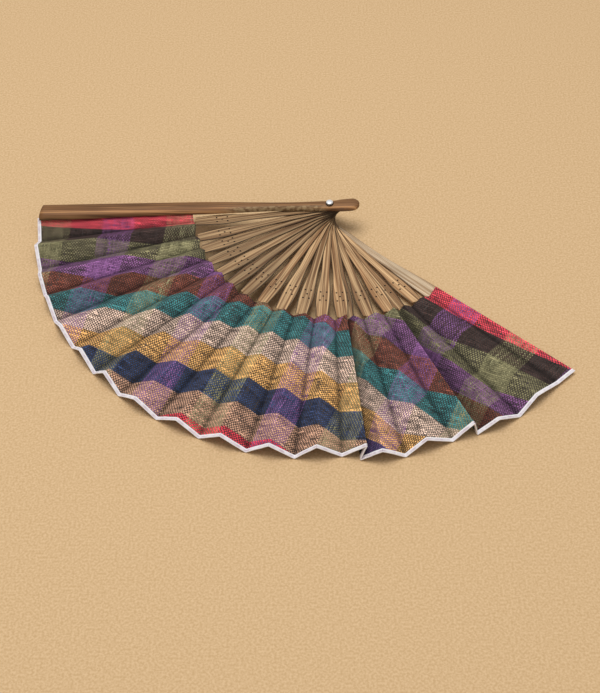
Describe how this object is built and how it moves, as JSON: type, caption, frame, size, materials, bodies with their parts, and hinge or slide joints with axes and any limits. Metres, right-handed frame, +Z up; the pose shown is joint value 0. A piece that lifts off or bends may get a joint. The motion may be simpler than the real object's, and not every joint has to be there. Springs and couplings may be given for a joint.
{
  "type": "folding fan",
  "caption": "Folding hand fan with bamboo ribs and guards on one rivet and a pleated plaid cloth leaf, half spread and lying on a table.",
  "frame": {"origin": "on the table, on the rivet's lower face, with the fan lying spread in front of it", "axes": "+Z up from the table, the upper guard lies along -X, and the leaf spreads towards -Y"},
  "size_m": [0.3741, 0.2303, 0.0274],
  "materials": {
    "bamboo": "plain cut bamboo",
    "bark": "smooth dark bamboo bark",
    "cloth": "coarse woven plaid with a pale woven rim tape",
    "steel": "bright domed rivet",
    "dark_steel": "dark"
  },
  "bodies": {
    "lower_guard": {"lower_guard": "bark", "rivet_pin": "steel", "rivet_washer": "dark_steel", "rivet_cap": "steel", "leaf_glued_18": "cloth"},
    "rib_17": {"rib_17": "bamboo", "leaf_glued_17": "cloth", "leaf_free_18": "cloth"},
    "rib_16": {"rib_16": "bamboo", "leaf_glued_16": "cloth", "leaf_free_17": "cloth"},
    "rib_15": {"rib_15": "bamboo", "leaf_glued_15": "cloth", "leaf_free_16": "cloth"},
    "rib_14": {"rib_14": "bamboo", "leaf_glued_14": "cloth", "leaf_free_15": "cloth"},
    "rib_13": {"rib_13": "bamboo", "leaf_glued_13": "cloth", "leaf_free_14": "cloth"},
    "rib_12": {"rib_12": "bamboo", "leaf_glued_12": "cloth", "leaf_free_13": "cloth"},
    "rib_11": {"rib_11": "bamboo", "leaf_glued_11": "cloth", "leaf_free_12": "cloth"},
    "rib_10": {"rib_10": "bamboo", "leaf_glued_10": "cloth", "leaf_free_11": "cloth"},
    "rib_09": {"rib_09": "bamboo", "leaf_glued_09": "cloth", "leaf_free_10": "cloth"},
    "rib_08": {"rib_08": "bamboo", "leaf_glued_08": "cloth", "leaf_free_09": "cloth"},
    "rib_07": {"rib_07": "bamboo", "leaf_glued_07": "cloth", "leaf_free_08": "cloth"},
    "rib_06": {"rib_06": "bamboo", "leaf_glued_06": "cloth", "leaf_free_07": "cloth"},
    "rib_05": {"rib_05": "bamboo", "leaf_glued_05": "cloth", "leaf_free_06": "cloth"},
    "rib_04": {"rib_04": "bamboo", "leaf_glued_04": "cloth", "leaf_free_05": "cloth"},
    "rib_03": {"rib_03": "bamboo", "leaf_glued_03": "cloth", "leaf_free_04": "cloth"},
    "rib_02": {"rib_02": "bamboo", "leaf_glued_02": "cloth", "leaf_free_03": "cloth"},
    "rib_01": {"rib_01": "bamboo", "leaf_glued_01": "cloth", "leaf_free_02": "cloth"},
    "upper_guard": {"upper_guard": "bark", "leaf_free_01": "cloth"}
  },
  "joints": [
    {"name": "upper_guard_turn", "type": "hinge", "parent": "rib_01", "child": "upper_guard", "pos_m": [0, 0, 0], "axis": [0.0268, -0.0112, -0.9996], "range_deg": [-8.13, 2.13], "deforming": ["leaf_free_01", "leaf_glued_01"]},
    {"name": "rib_01_turn", "type": "hinge", "parent": "rib_02", "child": "rib_01", "pos_m": [0, 0, 0], "axis": [0.0268, -0.0112, -0.9996], "range_deg": [-7.88, 2.06], "deforming": ["leaf_free_02", "leaf_glued_02"]},
    {"name": "rib_02_turn", "type": "hinge", "parent": "rib_03", "child": "rib_02", "pos_m": [0, 0, 0], "axis": [0.0268, -0.0112, -0.9996], "range_deg": [-6.54, 1.71], "deforming": ["leaf_free_03", "leaf_glued_03"]},
    {"name": "rib_03_turn", "type": "hinge", "parent": "rib_04", "child": "rib_03", "pos_m": [0, 0, 0], "axis": [0.0268, -0.0112, -0.9996], "range_deg": [-7.87, 2.06], "deforming": ["leaf_free_04", "leaf_glued_04"]},
    {"name": "rib_04_turn", "type": "hinge", "parent": "rib_05", "child": "rib_04", "pos_m": [0, 0, 0], "axis": [0.0268, -0.0112, -0.9996], "range_deg": [-7.28, 1.91], "deforming": ["leaf_free_05", "leaf_glued_05"]},
    {"name": "rib_05_turn", "type": "hinge", "parent": "rib_06", "child": "rib_05", "pos_m": [0, 0, 0], "axis": [0.0268, -0.0112, -0.9996], "range_deg": [-7.3, 1.91], "deforming": ["leaf_free_06", "leaf_glued_06"]},
    {"name": "rib_06_turn", "type": "hinge", "parent": "rib_07", "child": "rib_06", "pos_m": [0, 0, 0], "axis": [0.0268, -0.0112, -0.9996], "range_deg": [-8.4, 2.2], "deforming": ["leaf_free_07", "leaf_glued_07"]},
    {"name": "rib_07_turn", "type": "hinge", "parent": "rib_08", "child": "rib_07", "pos_m": [0, 0, 0], "axis": [0.0268, -0.0112, -0.9996], "range_deg": [-8.85, 2.32], "deforming": ["leaf_free_08", "leaf_glued_08"]},
    {"name": "rib_08_turn", "type": "hinge", "parent": "rib_09", "child": "rib_08", "pos_m": [0, 0, 0], "axis": [0.0268, -0.0112, -0.9996], "range_deg": [-8.39, 2.2], "deforming": ["leaf_free_09", "leaf_glued_09"]},
    {"name": "rib_09_turn", "type": "hinge", "parent": "rib_10", "child": "rib_09", "pos_m": [0, 0, 0], "axis": [0.0268, -0.0112, -0.9996], "range_deg": [-8.61, 2.26], "deforming": ["leaf_free_10", "leaf_glued_10"]},
    {"name": "rib_10_turn", "type": "hinge", "parent": "rib_11", "child": "rib_10", "pos_m": [0, 0, 0], "axis": [0.0268, -0.0112, -0.9996], "range_deg": [-8.13, 2.13], "deforming": ["leaf_free_11", "leaf_glued_11"]},
    {"name": "rib_11_turn", "type": "hinge", "parent": "rib_12", "child": "rib_11", "pos_m": [0, 0, 0], "axis": [0.0268, -0.0112, -0.9996], "range_deg": [-8.59, 2.25], "deforming": ["leaf_free_12", "leaf_glued_12"]},
    {"name": "rib_12_turn", "type": "hinge", "parent": "lower_guard", "child": "rib_12", "pos_m": [0, 0, 0], "axis": [0.0268, -0.0112, -0.9996], "range_deg": [-41.48, 10.86], "deforming": ["leaf_free_13", "leaf_glued_13"]},
    {"name": "rib_13_turn", "type": "hinge", "parent": "rib_14", "child": "rib_13", "pos_m": [0, 0, 0], "axis": [0.0268, -0.0112, -0.9996], "range_deg": [-7.94, 2.08], "deforming": ["leaf_free_14", "leaf_glued_14"]},
    {"name": "rib_14_turn", "type": "hinge", "parent": "rib_15", "child": "rib_14", "pos_m": [0, 0, 0], "axis": [0.0268, -0.0112, -0.9996], "range_deg": [-9.07, 2.37], "deforming": ["leaf_free_15", "leaf_glued_15"]},
    {"name": "rib_15_turn", "type": "hinge", "parent": "lower_guard", "child": "rib_15", "pos_m": [0, 0, 0], "axis": [0.0268, -0.0112, -0.9996], "range_deg": [-21.98, 5.76], "deforming": ["leaf_free_16", "leaf_glued_16"]},
    {"name": "rib_16_turn", "type": "hinge", "parent": "rib_17", "child": "rib_16", "pos_m": [0, 0, 0], "axis": [0.0268, -0.0112, -0.9996], "range_deg": [-9.05, 2.37], "deforming": ["leaf_free_17", "leaf_glued_17"]},
    {"name": "rib_17_turn", "type": "hinge", "parent": "lower_guard", "child": "rib_17", "pos_m": [0, 0, 0], "axis": [0.0268, -0.0112, -0.9996], "range_deg": [-8.4, 2.2], "deforming": ["leaf_free_18", "leaf_glued_18"]}
  ],
  "couplings": [
    {"joint": "upper_guard_turn", "follows": "rib_12_turn", "ratio": 0.19601},
    {"joint": "rib_01_turn", "follows": "rib_12_turn", "ratio": 0.18996},
    {"joint": "rib_02_turn", "follows": "rib_12_turn", "ratio": 0.15772},
    {"joint": "rib_03_turn", "follows": "rib_12_turn", "ratio": 0.18978},
    {"joint": "rib_04_turn", "follows": "rib_12_turn", "ratio": 0.17549},
    {"joint": "rib_05_turn", "follows": "rib_12_turn", "ratio": 0.17604},
    {"joint": "rib_06_turn", "follows": "rib_12_turn", "ratio": 0.2026},
    {"joint": "rib_07_turn", "follows": "rib_12_turn", "ratio": 0.21341},
    {"joint": "rib_08_turn", "follows": "rib_12_turn", "ratio": 0.20223},
    {"joint": "rib_09_turn", "follows": "rib_12_turn", "ratio": 0.20755},
    {"joint": "rib_10_turn", "follows": "rib_12_turn", "ratio": 0.19601},
    {"joint": "rib_11_turn", "follows": "rib_12_turn", "ratio": 0.20718},
    {"joint": "rib_13_turn", "follows": "rib_12_turn", "ratio": 0.19143},
    {"joint": "rib_14_turn", "follows": "rib_12_turn", "ratio": 0.21854},
    {"joint": "rib_15_turn", "follows": "rib_12_turn", "ratio": 0.52995},
    {"joint": "rib_16_turn", "follows": "rib_12_turn", "ratio": 0.21817},
    {"joint": "rib_17_turn", "follows": "rib_12_turn", "ratio": 0.20242}
  ]
}
